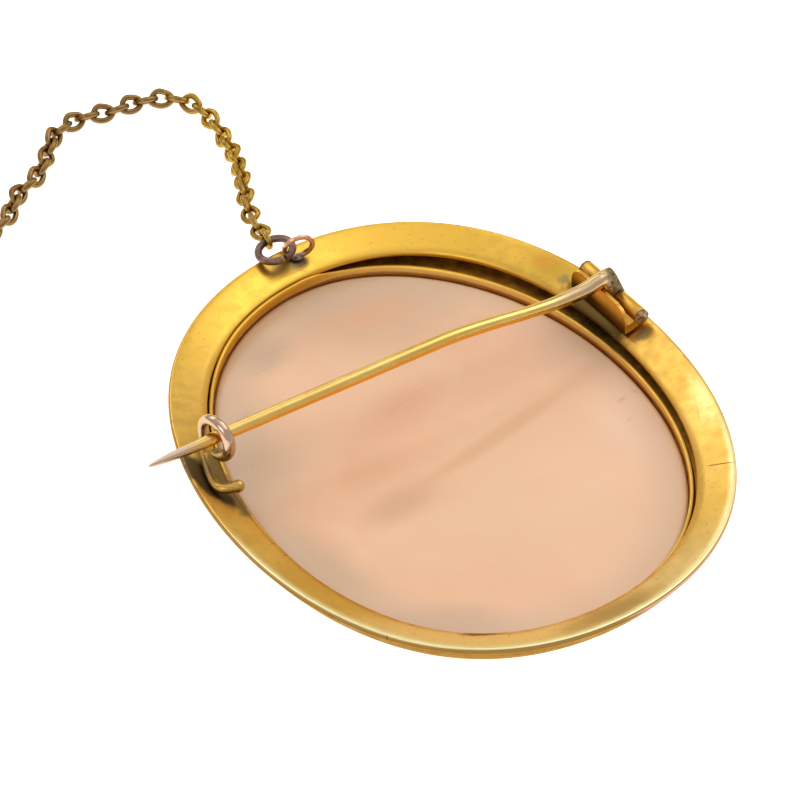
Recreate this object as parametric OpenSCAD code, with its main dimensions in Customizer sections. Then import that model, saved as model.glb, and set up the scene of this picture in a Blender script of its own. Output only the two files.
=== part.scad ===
// Oval cameo brooch, lying face down with its back up. A gold frame holds a carved shell,
// and on the plate of the frame stand the pin's hinge, a wire catch and a loop with a safety chain.
// Millimetres, +Z up, +Y towards the chain loop, +X towards the hinge. The origin is on the surface
// that the brooch lies on, below the middle of the oval.

/* [Oval] */
// Length of the frame along its long axis
brooch_l = 50; // [47:0.5:53]
// Width of the frame along its short axis
brooch_w = 39; // [37:0.5:41]
// How far the oval is squeezed out of true on the slant, as a share of its radius
oval_pinch = 0.013; // [0:0.001:0.02]
// How much fuller one side of the oval is than the other, as a share of its radius
oval_egg = 0.005; // [0:0.001:0.01]

/* [Back plate] */
// Width of the plate from its edge to the opening
plate_w = 2.8; // [2.6:0.1:3.2]
// Drop of the plate from its edge to the opening
plate_dip = 0.95; // [0.7:0.05:1.2]
// Distance of the plate's ridge from its edge
ridge_in = 0.25; // [0.15:0.05:0.4]
// Height of the band round the edge
edge_h = 0.5; // [0.4:0.05:0.7]
// Thickness of the gold sheet of the frame
sheet_t = 0.4; // [0.3:0.05:0.45]

/* [Front moulding and bezel] */
// Depth of the hollow front moulding below the ridge
front_depth = 2.5; // [2.3:0.1:2.9]
// Gap between the opening of the plate and the bezel strip
bezel_gap = 0.2; // [0.15:0.05:0.4]
// How far the bezel and the shell stand out of true near the chain loop, in and then out
bezel_sway = 0.75; // [0:0.05:0.8]
// Thickness of the bezel strip
bezel_t = 0.3; // [0.25:0.05:0.4]
// Height of the bezel strip's back edge above the shell
bezel_rise = 0.5; // [0.3:0.05:0.6]
// Width of the lip that holds the front of the shell
lip_w = 0.45; // [0.3:0.05:0.7]
// Thickness of that lip
lip_t = 0.2; // [0.2:0.05:0.35]
// Clearance between the shell and the bezel
shell_fit = 0.05; // [0.03:0.01:0.1]

/* [Cameo shell] */
// Depth of the shell's back below the ridge, at its edge
shell_depth = 2.2; // [2.15:0.05:2.5]
// Thickness of the shell at its edge
shell_t = 0.6; // [0.5:0.05:0.9]
// Depth of the hollow of the shell's back
shell_hollow = 0.5; // [0.3:0.05:0.7]
// Height of the swell of the shell's front
shell_dome = 0.6; // [0.5:0.05:0.9]
// Height of the carving on the front
relief_h = 1.5; // [1.2:0.05:1.7]
// Radius of the carved blossom
blossom_r = 6.2; // [5:0.1:7]
// Distance of the blossom's middle below the middle of the oval
blossom_low = 8; // [7:0.1:9]

/* [Hinge] */
// Place of the hinge round the oval, in degrees from +X
hinge_at = 23.6; // [18:0.2:30]
// Distance of the hinge's axis from the edge
hinge_in = 0.95; // [0.85:0.05:1.2]
// Length of the hinge along its axis
hinge_l = 7; // [6:0.1:8]
// Outer radius of the hinge tubes
barrel_r = 0.6; // [0.5:0.05:0.65]
// Width of the knuckle between the tubes
knuckle_w = 2.4; // [2:0.1:2.8]
// Distance of the knuckle from the middle of the hinge
knuckle_off = 0.4; // [0:0.1:0.6]
// Radius of the rivet
rivet_r = 0.3; // [0.25:0.01:0.34]
// Radial clearance of the rivet in the knuckle
rivet_fit = 0.03; // [0.02:0.01:0.06]
// Height of the arched wall in front of the tubes
cradle_h = 2.05; // [1.7:0.05:2.1]
// Radius of the rounded corners of that wall
cradle_corner = 1.2; // [0.8:0.1:1.4]
// Thickness of the arched wall
cradle_t = 0.3; // [0.25:0.05:0.4]
// Distance of the arched wall from the axis
cradle_in = 1.1; // [1:0.05:1.3]

/* [Pin] */
// Radius of the pin's shaft
stem_r = 0.5; // [0.42:0.01:0.54]
// Height of the shaft above the ridge where it enters the catch
stem_h = 2.1; // [2:0.05:2.3]
// How high the shaft bows above a straight line
stem_bow = 0.5; // [0.2:0.05:0.7]
// Length of the point beyond the catch
stem_over = 5.4; // [4:0.1:7]
// Distance of the head's end from the hinge's axis
head_in = 0.65; // [0.4:0.05:0.8]
// Radius of the point's end
tip_r = 0.08; // [0.05:0.01:0.15]

/* [Catch] */
// Place of the catch round the oval, in degrees from +X
catch_at = 175.2; // [171:0.2:180]
// Distance of the curl's middle from the edge
catch_in = 2.4; // [2.2:0.1:2.6]
// Radius of the catch's wire
catch_r = 0.4; // [0.34:0.01:0.42]
// Radius of the curl, to the middle of the wire
curl_r = 1.43; // [1.4:0.01:1.6]
// Turn of the curl away from the edge, in degrees
curl_turn = 26; // [15:1:35]
// Distance of the foot's wire from the edge
foot_in = 1.45; // [1.3:0.05:1.6]
// How far round the oval the foot reaches beyond the curl, in degrees
toe_turn = 7.6; // [6:0.1:9]
// Radius of the ball at the end of the foot
ball_r = 0.44; // [0.4:0.01:0.5]

/* [Chain loop and jump ring] */
// Place of the loop round the oval, in degrees from +X
loop_at = 101.6; // [100:0.1:103]
// Distance of the loop's foot from the edge
loop_in = 1.3; // [1.2:0.05:1.5]
// Radius of the loop, to the middle of the wire
loop_r = 1.12; // [1.1:0.01:1.25]
// Radius of the loop's wire
loop_wire = 0.2; // [0.17:0.01:0.2]
// Lean of the loop towards the middle of the oval, in degrees
loop_lean = 16; // [12:1:20]
// Distance of the jump ring's middle from the loop's foot, along and across the oval
ring_along = 0.37; // [0.3:0.01:0.45]
ring_across = 1.59; // [1.5:0.01:1.65]
// Height of the jump ring's middle above the plate's ridge
ring_z = 0.57; // [0.55:0.01:0.65]
// Tilt of the jump ring, up towards the loop, in degrees
ring_tilt = 10.5; // [6:0.5:12]
// Radius of the jump ring, to the middle of the wire
ring_r = 1.32; // [1.28:0.01:1.4]
// Radius of the jump ring's wire
ring_wire = 0.28; // [0.22:0.01:0.29]
// Width of the jump ring's open joint
ring_gap = 0.3; // [0.1:0.05:0.4]

/* [Chain] */
// Length of a link over all
link_l = 2.06; // [2:0.01:2.1]
// Width of a link over all
link_w = 1.45; // [1.42:0.01:1.5]
// Radius of a link's wire
link_wire = 0.19; // [0.17:0.01:0.2]
// Play between two links
link_play = 0.06; // [0.03:0.01:0.12]

/* [Hidden] */
// Gap between a soldered foot and the plate, and between pieces that lie on each other
seat = 0.02;
// Phase of the squeeze and of the fullness of the oval, and the middle and the width of the
// sway of the bezel, in degrees
pinch_at = 235;
egg_at = 261;
sway_at = 82.5;
sway_w = 39;
// Half sizes of the oval
half_l = brooch_l / 2;
half_w = brooch_w / 2;
// Inset of the bezel's outer face, of its inner face and of the shell's edge
bezel_in = plate_w + bezel_gap;
bezel_inner = bezel_in + bezel_t;
shell_in = bezel_inner + shell_fit;
// Depths of the bezel's back edge, of the top of the lip and of its bottom
bezel_top = shell_depth - bezel_rise;
lip_top = shell_depth + shell_t + shell_fit;
lip_bottom = lip_top + lip_t;
// Number of stations round the frame, and of rings and sectors on the shell
stations = 80;
front_rings = 26;
back_rings = 6;
sectors = 84;
// Smoothness of round exact parts: in general, of rings, of links and their wire, of the arch
// of the wall and of the pin's head
$fn = 48;
fn_ring = 96;
fn_link = 64;
fn_wire = 24;
fn_arch = 120;
fn_head = 32;

// Edge of the plate, from its ridge down to the moulding.
// Columns: share of the inset of the ridge, share of the height of the edge band
EDGE_BAND = [
    [1.00, 0.00],
    [0.35, 0.12],
    [0.00, 0.40],
    [0.00, 0.80],
    [0.30, 1.00]
];

// Outer side of the front moulding, from the edge band to the bezel.
// Columns: share of the inset of the bezel, share of the depth from the band to the front
MOULDING = [
    [0.07, 0.06],
    [0.14, 0.24],
    [0.24, 0.46],
    [0.40, 0.75],
    [0.58, 0.92],
    [0.78, 1.00],
    [1.00, 1.00]
];

// Carved petals and leaves, in rings round the blossom's middle.
// Columns: number in the ring, distance, first angle, half length, half width, height,
// where the sizes are shares of blossom_r and the height is a share of relief_h
PETALS = [
    [5, 0.58, 54, 0.42, 0.40, 1.00],
    [5, 0.34, 18, 0.30, 0.28, 0.85],
    [1, 0.00, 0, 0.17, 0.17, 0.80]
];

// Carved leaves of the spray above the blossom.
// Columns: distance along and across the oval, angle, half length, half width, height,
// where the distances are shares of half_l and half_w, the rest as above
LEAVES = [
    [0.12, -0.34, 128, 0.62, 0.22, 0.42],
    [0.12, 0.34, 52, 0.62, 0.22, 0.42],
    [0.32, -0.16, 112, 0.60, 0.20, 0.34],
    [0.32, 0.16, 68, 0.60, 0.20, 0.34],
    [0.50, 0.00, 90, 0.46, 0.20, 0.25],
    [-0.46, -0.46, 215, 0.50, 0.20, 0.40],
    [-0.46, 0.46, -35, 0.50, 0.20, 0.40]
];

// Course of the pin's shaft from the hinge to the catch.
// Columns: share of the way from the hinge to the catch, rise as a share of stem_bow
// above the height at the catch, radius as a share of stem_r
STEM = [
    [0.000, 0.70, 1.08],
    [0.045, -0.25, 1.06],
    [0.130, -0.60, 1.00],
    [0.195, -0.40, 0.94],
    [0.405, 1.00, 1.00],
    [0.860, 0.23, 1.00],
    [1.000, 0.00, 0.94]
];

// Route of the chain's middle line over the surface, chosen by hand. Columns: x, y, z.
// It comes down from the jump ring to the surface and runs to the chain's free end
CHAIN = [
    [-5.4, 26.5, 3.08],
    [-5.4, 28.0, 2.94],
    [-5.2, 29.8, 2.75],
    [-4.8, 31.6, 2.51],
    [-4.2, 34.2, 2.03],
    [-3.7, 36.9, 1.36],
    [-3.5, 40.0, 0.78],
    [-3.6, 42.4, 0.60],
    [-4.0, 44.2, 0.58],
    [-4.8, 45.8, 0.57],
    [-6.4, 46.8, 0.57],
    [-8.5, 47.0, 0.57],
    [-10.8, 46.6, 0.57],
    [-13.4, 46.5, 0.57],
    [-15.7, 45.3, 0.57],
    [-17.0, 43.3, 0.57],
    [-18.5, 41.0, 0.57],
    [-20.7, 39.1, 0.57],
    [-22.0, 37.1, 0.57],
    [-24.6, 34.9, 0.57]
];

function unit(v) = v / norm(v);

// Point of the oval at an angle, moved inwards by an inset
function oval(t, inset) =
    let (
        g = 1 + oval_egg * cos(3 * t - egg_at) + oval_pinch * cos(4 * t - pinch_at),
        n = unit([cos(t) / half_w, sin(t) / half_l])
    )
    [half_w * cos(t) * g, half_l * sin(t) * g] - inset * n;

// How far the bezel sways inwards at an angle: it swings from 1 to -1 about the middle of the sway
function sway(t) =
    let (u = (t - sway_at) / sway_w)
    -bezel_sway * sqrt(2) * exp(0.5) * u * exp(-u * u);

// Inset of a point from the edge of the oval
function inset_of(p) =
    let (
        t = atan2(p.y / half_l, p.x / half_w),
        n = unit([cos(t) / half_w, sin(t) / half_l]),
        edge = oval(t, 0)
    )
    (edge - [p.x, p.y]) * n;

// Height of the plate's top at an inset, below the ridge
plate_slope = plate_dip / (plate_w - ridge_in);
function plate_z(inset) = -plate_slope * max(0, min(inset, plate_w) - ridge_in);
function plate_under(p) = plate_z(inset_of(p));
// Height of the middle of a round wire that lies on the sloping plate
function wire_on_plate(p, r) = plate_under(p) + (r + seat) * sqrt(1 + plate_slope * plate_slope);

// Outline of the frame's hollow section.
// Columns: inset from the edge, height from the ridge, share of the bezel's sway
function moulding(k) =
    let (row = MOULDING[k])
    [row[0] * bezel_in, -edge_h - row[1] * (front_depth - edge_h), row[0]];
last_row = len(MOULDING) - 1;
function moulding_normal(k) =
    let (
        a = moulding(max(k - 1, 0)),
        b = moulding(min(k + 1, last_row)),
        d = unit([b.x - a.x, b.y - a.y])
    )
    [-d.y, d.x, 0];
frame_section = concat(
    [[plate_w, -plate_dip, 0]],
    [for (row = EDGE_BAND) [row[0] * ridge_in, -row[1] * edge_h, 0]],
    [for (k = [0:last_row]) moulding(k)],
    [
        [bezel_in, -lip_bottom, 1],
        [bezel_inner + lip_w, -lip_bottom, 1],
        [bezel_inner + lip_w, -lip_top, 1],
        [bezel_inner, -lip_top, 1],
        [bezel_inner, -bezel_top, 1],
        [bezel_in, -bezel_top, 1],
        [bezel_in, -front_depth + sheet_t, 1]
    ],
    [for (k = [last_row - 1:-1:2]) moulding(k) + sheet_t * moulding_normal(k)],
    [
        [ridge_in + sheet_t, -sheet_t - plate_slope * sheet_t, 0],
        [plate_w, -plate_dip - sheet_t, 0]
    ]
);

// Carved height at a point of the front, from 0 to 1, with the roundness of a petal's top
crown = 0.4;
function bump(p, at, angle, half, wide, high) =
    let (
        d = p - at,
        u = (d.x * cos(angle) + d.y * sin(angle)) / half,
        v = (d.y * cos(angle) - d.x * sin(angle)) / wide,
        q = 1 - u * u - v * v
    )
    q > 0 ? high * pow(q, crown) : 0;
function petal_heights(p, row) = [
    for (k = [0:row[0] - 1])
        let (a = row[2] + k * 360 / row[0])
        bump(p, [0, -blossom_low] + row[1] * blossom_r * [cos(a), sin(a)], a,
             row[3] * blossom_r, row[4] * blossom_r, row[5])
];
function leaf_height(p, row) =
    bump(p, [row[1] * half_w, row[0] * half_l], row[2], row[3] * blossom_r, row[4] * blossom_r, row[5]);
function carved(p) = max(concat(
    [0],
    [for (row = PETALS) max(petal_heights(p, row))],
    [for (row = LEAVES) leaf_height(p, row)]
));

// Points of the shell: rings of the back from the middle to the edge, then of the front
function shell_back(share) = -shell_depth - shell_hollow * (1 - share * share);
function shell_front(share, p) =
    -shell_depth - shell_t - shell_dome * (1 - share * share) - relief_h * carved(p);
function shell_ring(share, front) = [
    for (k = [0:sectors - 1])
        let (t = k * 360 / sectors, p = share * oval(t, shell_in + sway(t)))
        [p.x, p.y, front ? shell_front(share, p) : shell_back(share)]
];
shell_points = concat(
    [[0, 0, shell_back(0)]],
    [for (r = [1:back_rings]) each shell_ring(r / back_rings, false)],
    [for (r = [front_rings:-1:1]) each shell_ring(r / front_rings, true)],
    [[0, 0, shell_front(0, [0, 0])]]
);
frame_points = [
    for (k = [0:stations - 1], q = frame_section)
        let (t = k * 360 / stations, p = oval(t, q.x + q.z * sway(t)))
        [p.x, p.y, q.y]
];

// The brooch leans on the front of its frame at the chain loop's end, and on the carved petals
lip_y = oval(90, bezel_in).y;
lean = max([for (p = shell_points) if (p.y < half_l / 2) atan((-lip_bottom - p.z) / (lip_y - p.y))]);
function leaned(p) = [p.x, p.y * cos(lean) + p.z * sin(lean), p.z * cos(lean) - p.y * sin(lean)];
rest_h = -min([for (p = concat(frame_points, shell_points)) leaned(p).z]);
function lying(p) = leaned(p) + [0, 0, rest_h];
module lie() {
    translate([0, 0, rest_h]) rotate([-lean, 0, 0]) children();
}

// Places on the plate, with the ridge at height 0
hinge_p = oval(hinge_at, hinge_in);
catch_p = oval(catch_at, catch_in);
axis_z = barrel_r + seat;
stem_run = norm(hinge_p - catch_p);
stem_yaw = atan2(hinge_p.y - catch_p.y, hinge_p.x - catch_p.x);
// Point of the hinge's own frame: out along the pin's line, along the axis
function by_hinge(out, along) =
    hinge_p + out * [cos(stem_yaw), sin(stem_yaw)] + along * [-sin(stem_yaw), cos(stem_yaw)];
module at_hinge() {
    translate([hinge_p.x, hinge_p.y, 0]) rotate([0, 0, stem_yaw]) children();
}

// A solid from rings of points, each ring with the same number of points
function ring_faces(rings, n, closed) = [
    for (r = [0:rings - (closed ? 1 : 2)], k = [0:n - 1])
        let (
            a = r * n + k,
            b = r * n + (k + 1) % n,
            c = ((r + 1) % rings) * n + (k + 1) % n,
            d = ((r + 1) % rings) * n + k
        )
        each [[a, b, c], [a, c, d]]
];

// Round rod between two points, cut back a little at both ends, and a wire of rods
// whose corners are balls a little thicker than the rods
joint_cut = 0.1;
joint_swell = 1.03;
module rod(a, b, r1, r2) {
    d = unit(b - a);
    cut = joint_cut * r1;
    translate(a + cut * d)
        rotate([0, acos(d.z), atan2(d.y, d.x)])
        cylinder(h = norm(b - a) - 2 * cut, r1 = r1, r2 = r2);
}
module wire(points, radii) {
    last = len(points) - 1;
    for (k = [0:last - 1])
        rod(points[k], points[k + 1], radii[k], radii[k + 1]);
    for (k = [1:last])
        translate(points[k]) sphere(r = joint_swell * radii[k]);
}

// Frame: back plate, edge band, hollow front moulding and bezel, soldered into one
module frame() {
    color("goldenrod") lie()
        polyhedron(points = frame_points,
                   faces = ring_faces(stations, len(frame_section), true));
}

// Cameo: the shell, hollow at the back, with a carved spray on the front
module cameo() {
    rings = back_rings + front_rings;
    sides = [for (f = ring_faces(rings, sectors, false)) f + [1, 1, 1]];
    top = [for (k = [0:sectors - 1]) [0, 1 + (k + 1) % sectors, 1 + k]];
    base = 1 + (rings - 1) * sectors;
    bottom = [for (k = [0:sectors - 1]) [base + sectors, base + k, base + (k + 1) % sectors]];
    color("peachpuff") lie()
        polyhedron(points = shell_points,
                   faces = concat(top, sides, bottom));
}

// Hinge: an arched wall and two tubes on a base, soldered into one
wall_ends = [
    for (along = [-hinge_l / 2, 0, hinge_l / 2]) plate_under(by_hinge(-cradle_in - cradle_t, along)),
    for (along = [-hinge_l / 2, 0, hinge_l / 2]) plate_under(by_hinge(-cradle_in, along))
];
base_ends = [for (along = [-hinge_l / 2, 0, hinge_l / 2]) plate_under(by_hinge(0, along))];
wall_z = max(wall_ends) + seat;
base_z = max(base_ends) + seat;
// How far the arch drops at its ends, its radius, the height of the base behind the wall,
// and the play of the knuckle at each side
arch_drop = 0.06 * cradle_h;
arch_r = (hinge_l * hinge_l / 4 + arch_drop * arch_drop) / (2 * arch_drop);
base_rise = 0.35 * cradle_h;
knuckle_play = 0.06;
module cradle() {
    translate([-cradle_in, 0, wall_z])
        rotate([90, 0, -90])
        linear_extrude(height = cradle_t)
        intersection() {
            translate([0, cradle_h - arch_r]) circle(r = arch_r, $fn = fn_arch);
            translate([-hinge_l / 2, 0]) square([hinge_l, cradle_h]);
            union() {
                translate([-hinge_l / 2, 0]) square([hinge_l, cradle_h - cradle_corner]);
                translate([cradle_corner - hinge_l / 2, 0]) square([hinge_l - 2 * cradle_corner, cradle_h]);
                for (end = [-1, 1])
                    translate([end * (hinge_l / 2 - cradle_corner), cradle_h - cradle_corner - arch_drop])
                        circle(r = cradle_corner);
            }
        }
}
module hinge_base() {
    translate([0, hinge_l / 2, 0])
        rotate([90, 0, 0])
        linear_extrude(height = hinge_l)
        polygon([
            [-cradle_in - cradle_t, wall_z],
            [-cradle_in, wall_z],
            [0, base_z],
            [0, axis_z],
            [-cradle_in, wall_z + base_rise],
            [-cradle_in - cradle_t, wall_z + base_rise]
        ]);
}
module along_axis(from, to, r) {
    translate([0, to, axis_z]) rotate([90, 0, 0]) cylinder(h = to - from, r = r);
}
module hinge() {
    color("darkgoldenrod") lie() at_hinge() {
        cradle();
        difference() {
            union() {
                hinge_base();
                along_axis(-hinge_l / 2, hinge_l / 2, barrel_r);
            }
            translate([-cradle_in + seat, knuckle_off - knuckle_w / 2 - knuckle_play, base_z - cradle_h])
                cube([cradle_in + 2 * barrel_r, knuckle_w + 2 * knuckle_play, 2 * cradle_h]);
            along_axis(-hinge_l, hinge_l, rivet_r + seat);
        }
    }
}

// Rivet of the hinge, with a flat head at each end
head_t = 0.18;
head_r = 0.75 * barrel_r;
module rivet() {
    color("silver") lie() at_hinge() {
        along_axis(-hinge_l / 2 - seat - head_t, hinge_l / 2 + seat + head_t, rivet_r);
        along_axis(-hinge_l / 2 - seat - head_t, -hinge_l / 2 - seat, head_r);
        along_axis(hinge_l / 2 + seat, hinge_l / 2 + seat + head_t, head_r);
    }
}

// Pin: the knuckle with the head of the shaft, and the bowed shaft with its point.
// The point starts to narrow at a share of the length beyond the catch and sinks a little,
// and the head ends in a flat disc a little thicker than the shaft
point_from = 0.4;
point_drop = 0.3 * stem_bow;
point_r = 0.84 * stem_r;
head_w = 0.8 * stem_r;
head_swell = 1.1;
stem_points = concat(
    [for (row = STEM) [-row[0] * stem_run - head_in, 0, stem_h + row[1] * stem_bow]],
    [
        [-stem_run - point_from * stem_over, 0, stem_h - point_drop / 3],
        [-stem_run - stem_over, 0, stem_h - point_drop]
    ]
);
stem_radii = concat([for (row = STEM) row[2] * stem_r], [point_r, tip_r]);
module pin_stem() {
    color("gold") lie() at_hinge() difference() {
        union() {
            hull() {
                along_axis(knuckle_off - knuckle_w / 2, knuckle_off + knuckle_w / 2, barrel_r, $fn = fn_head);
                translate(stem_points[0])
                    rotate([0, -90, 0])
                    cylinder(h = head_w, r = head_swell * stem_radii[0], $fn = fn_head);
            }
            wire(stem_points, stem_radii);
        }
        along_axis(-hinge_l, hinge_l, rivet_r + rivet_fit);
    }
}

// Catch: one wire, with a ball at the end of its foot and a curl that holds the pin
along_edge = unit(oval(catch_at + 1, catch_in) - oval(catch_at - 1, catch_in));
curl_yaw = atan2(along_edge.y, along_edge.x) + curl_turn;
function by_curl(along, up) =
    [catch_p.x + along * cos(curl_yaw), catch_p.y + along * sin(curl_yaw), stem_h + up];
// Radius of the wire at the heel, where it is hammered thinner, length of the toe towards
// the shell and its slant, in degrees round the oval
foot_r = 0.75 * catch_r;
toe_l = 1.45;
toe_skew = 0.6;
function foot_z(r) = plate_z(foot_in) + (r + seat) * sqrt(1 + plate_slope * plate_slope);
heel = by_curl(-curl_r, 0);
toe = oval(catch_at + toe_turn, foot_in);
foot_end = oval(catch_at + toe_turn + toe_skew, foot_in + toe_l);
catch_points = [
    [foot_end.x, foot_end.y, foot_z(catch_r)],
    [toe.x, toe.y, foot_z(catch_r)],
    [heel.x, heel.y, foot_z(foot_r)],
    heel
];
// Turn of the curl from the heel to its end, and the turn left out at its end, in degrees
curl_end = 285;
joint_turn = joint_cut * catch_r / curl_r * 180 / PI;
module catch() {
    color("goldenrod") lie() {
        wire(catch_points, [catch_r, catch_r, foot_r, catch_r]);
        translate(catch_points[0]) sphere(r = ball_r);
        translate([catch_p.x, catch_p.y, stem_h])
            rotate([90, 0, curl_yaw])
            rotate([0, 0, 180 - curl_end])
            rotate_extrude(angle = curl_end - joint_turn, $fn = fn_ring)
            translate([curl_r, 0])
            circle(r = catch_r);
        translate(by_curl(-curl_r * cos(curl_end), curl_r * sin(curl_end)))
            sphere(r = joint_swell * catch_r);
    }
}

// Loop for the chain, standing on a bead of solder
loop_p = oval(loop_at, loop_in);
loop_foot_z = plate_under(loop_p) + seat;
// Height of the middle of the loop's wire at its foot, and the radius of the bead of solder
loop_low = loop_foot_z + 1.07 * loop_wire;
bead_r = 1.6 * loop_wire;
module chain_loop() {
    color("rosybrown") lie()
        translate([loop_p.x, loop_p.y, 0]) {
            translate([0, 0, loop_low])
                rotate([90 + loop_lean, 0, 0])
                translate([0, loop_r, 0])
                rotate_extrude($fn = fn_ring)
                translate([loop_r, 0])
                circle(r = loop_wire);
            translate([0, 0, loop_foot_z + bead_r * plate_slope])
                cylinder(h = loop_wire, r = bead_r);
        }
}

// Jump ring: round wire with an open joint, through the loop and down on the plate's ridge
ring_p = [loop_p.x - ring_across, loop_p.y + ring_along];
// Width of the open joint and its place round the ring, in degrees
ring_open = ring_gap / ring_r * 180 / PI;
open_at = -80;
function on_ring(a, r) =
    [ring_p.x + r * cos(a) * cos(ring_tilt), ring_p.y + r * sin(a), ring_z + r * cos(a) * sin(ring_tilt)];
module jump_ring() {
    color("saddlebrown") lie()
        translate([ring_p.x, ring_p.y, ring_z])
        rotate([0, -ring_tilt, 0])
        rotate([0, 0, open_at + ring_open / 2])
        rotate_extrude(angle = 360 - ring_open, $fn = fn_ring)
        translate([ring_r, 0])
        circle(r = ring_wire);
}

// Chain: links at even steps along the route, each turned a quarter against the last.
// The first one hangs in the jump ring, at an angle round the ring and a little inside its reach
link_step = link_l - 4 * link_wire - link_play;
chain_from = 97;
hook_in = 0.2;
chain_hook = ring_r + link_l / 2 - link_wire - ring_wire - link_play - hook_in;
chain_start = lying(on_ring(chain_from, chain_hook));
route = concat([chain_start], CHAIN);
reach = [for (k = 0, s = 0; k < len(route); s = s + (k + 1 < len(route) ? norm(route[k + 1] - route[k]) : 0),
              k = k + 1) s];
link_count = floor(reach[len(reach) - 1] / link_step) + 1;
function leg_of(s, k = 0) = k + 2 >= len(route) || s < reach[k + 1] ? k : leg_of(s, k + 1);
function slope_at(k) = unit(route[min(k + 1, len(route) - 1)] - route[max(k - 1, 0)]);
function on_route(s) =
    let (
        k = leg_of(s),
        leg = reach[k + 1] - reach[k],
        u = (s - reach[k]) / leg,
        a = route[k],
        b = route[k + 1],
        da = slope_at(k) * leg,
        db = slope_at(k + 1) * leg
    )
    a * (2 * pow(u, 3) - 3 * u * u + 1) + b * (3 * u * u - 2 * pow(u, 3))
    + da * (pow(u, 3) - 2 * u * u + u) + db * (pow(u, 3) - u * u);
// Roll of the links about the route, in degrees: at rest on the surface, and the further roll of
// the first one, which dies out over a number of links. The first links are cleaner gold
rest_roll = 45;
first_roll = 35;
settle_links = 9;
gold_links = 18;
function link_roll(k) =
    (k % 2 == 0 ? rest_roll : -rest_roll) + first_roll * max(0, 1 - k / settle_links);
module link(k) {
    s = k * link_step;
    p = on_route(s);
    t = unit(on_route(s + link_step / 2) - on_route(max(0, s - link_step / 2)));
    side = unit(cross([0, 0, 1], t));
    w = side * cos(link_roll(k)) + cross(t, side) * sin(link_roll(k));
    n = cross(t, w);
    end_r = link_w / 2 - link_wire;
    straight = link_l / 2 - link_wire - end_r;
    color(k < gold_links ? "goldenrod" : "peru")
        multmatrix([
            [t.x, w.x, n.x, p.x],
            [t.y, w.y, n.y, p.y],
            [t.z, w.z, n.z, p.z]
        ])
        for (turn = [0, 180])
            rotate([0, 0, turn]) {
                translate([straight, 0, 0])
                    rotate([0, 0, -90])
                    rotate_extrude(angle = 180, $fn = fn_link)
                    translate([end_r, 0])
                    circle(r = link_wire, $fn = fn_wire);
                translate([-straight, end_r, 0])
                    rotate([0, 90, 0])
                    cylinder(h = 2 * straight, r = link_wire, $fn = fn_wire);
            }
}

function link_name(k) = str("link_", k < 9 ? "0" : "", k + 1);

frame();
cameo();
hinge();
rivet();
pin_stem();
catch();
chain_loop();
jump_ring();
for (k = [0:link_count - 1])
    link(k);
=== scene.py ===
import math

import bpy
import numpy as np
from mathutils import Matrix, Vector


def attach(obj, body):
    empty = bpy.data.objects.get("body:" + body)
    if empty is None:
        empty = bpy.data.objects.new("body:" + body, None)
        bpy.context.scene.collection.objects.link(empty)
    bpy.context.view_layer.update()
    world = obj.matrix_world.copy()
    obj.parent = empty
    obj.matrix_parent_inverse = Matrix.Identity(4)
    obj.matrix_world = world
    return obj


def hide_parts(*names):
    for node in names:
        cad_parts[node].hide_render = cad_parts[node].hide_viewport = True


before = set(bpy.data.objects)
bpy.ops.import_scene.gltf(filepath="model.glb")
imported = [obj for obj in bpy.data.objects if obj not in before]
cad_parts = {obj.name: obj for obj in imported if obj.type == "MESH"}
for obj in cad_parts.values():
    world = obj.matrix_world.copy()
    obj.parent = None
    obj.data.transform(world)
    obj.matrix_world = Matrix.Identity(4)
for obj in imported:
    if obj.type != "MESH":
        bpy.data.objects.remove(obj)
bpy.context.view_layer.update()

# Surface, light and camera. The brooch lies face down on a plain white table in a tent of soft
# light, and is seen from its near side at about 43 degrees, from far off, so it hardly tapers.
mm = 0.001
table_side, table_white, table_rough, table_sheen, table_glow = 3.0, 0.93, 0.9, 0.1, 0.75
tent_colour, tent_glow = (1.0, 0.98, 0.95, 1), 0.62
# each softbox is aimed at the brooch: width, height, place, watts and colour
SOFTBOXES = {
    "light_right": (0.36, 0.36, (0.36, 0.13, 0.42), 0.58, (1.0, 0.97, 0.92)),
    "light_far": (0.50, 0.24, (-0.12, 0.42, 0.36), 0.52, (1.0, 0.98, 0.95)),
    "light_above": (0.50, 0.50, (0.13, 0.04, 0.52), 0.35, (1.0, 0.98, 0.95)),
    "light_near_left": (0.30, 0.25, (-0.38, -0.25, 0.40), 0.45, (1.0, 0.98, 0.96)),
}
camera_place = Vector((-95.457, -239.402, 241.334)) * mm
camera_right = (0.93640, -0.35016, 0.02347)
camera_top = (0.22086, 0.63994, 0.73600)
camera_back = (-0.27273, -0.68401, 0.67657)
camera_sensor, camera_lens, camera_shift = 36, 215.8, (-0.0537, 0.0233)
camera_near, camera_far = 0.01, 10


def deselect():
    if bpy.context.mode != "OBJECT":
        bpy.ops.object.mode_set(mode="OBJECT")
    bpy.ops.object.select_all(action="DESELECT")


deselect()
bpy.ops.mesh.primitive_plane_add(size=table_side)
table_top = bpy.context.object
table_top.name = "table_top"
table_paint = bpy.data.materials.new("white_table")
table_paint.use_nodes = True
table_shader = table_paint.node_tree.nodes["Principled BSDF"]
table_shader.inputs["Base Color"].default_value = (table_white, table_white, table_white, 1)
table_shader.inputs["Roughness"].default_value = table_rough
table_shader.inputs["Specular IOR Level"].default_value = table_sheen
table_shader.inputs["Emission Color"].default_value = (1, 1, 1, 1)
table_shader.inputs["Emission Strength"].default_value = table_glow
table_top.data.materials.append(table_paint)

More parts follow.
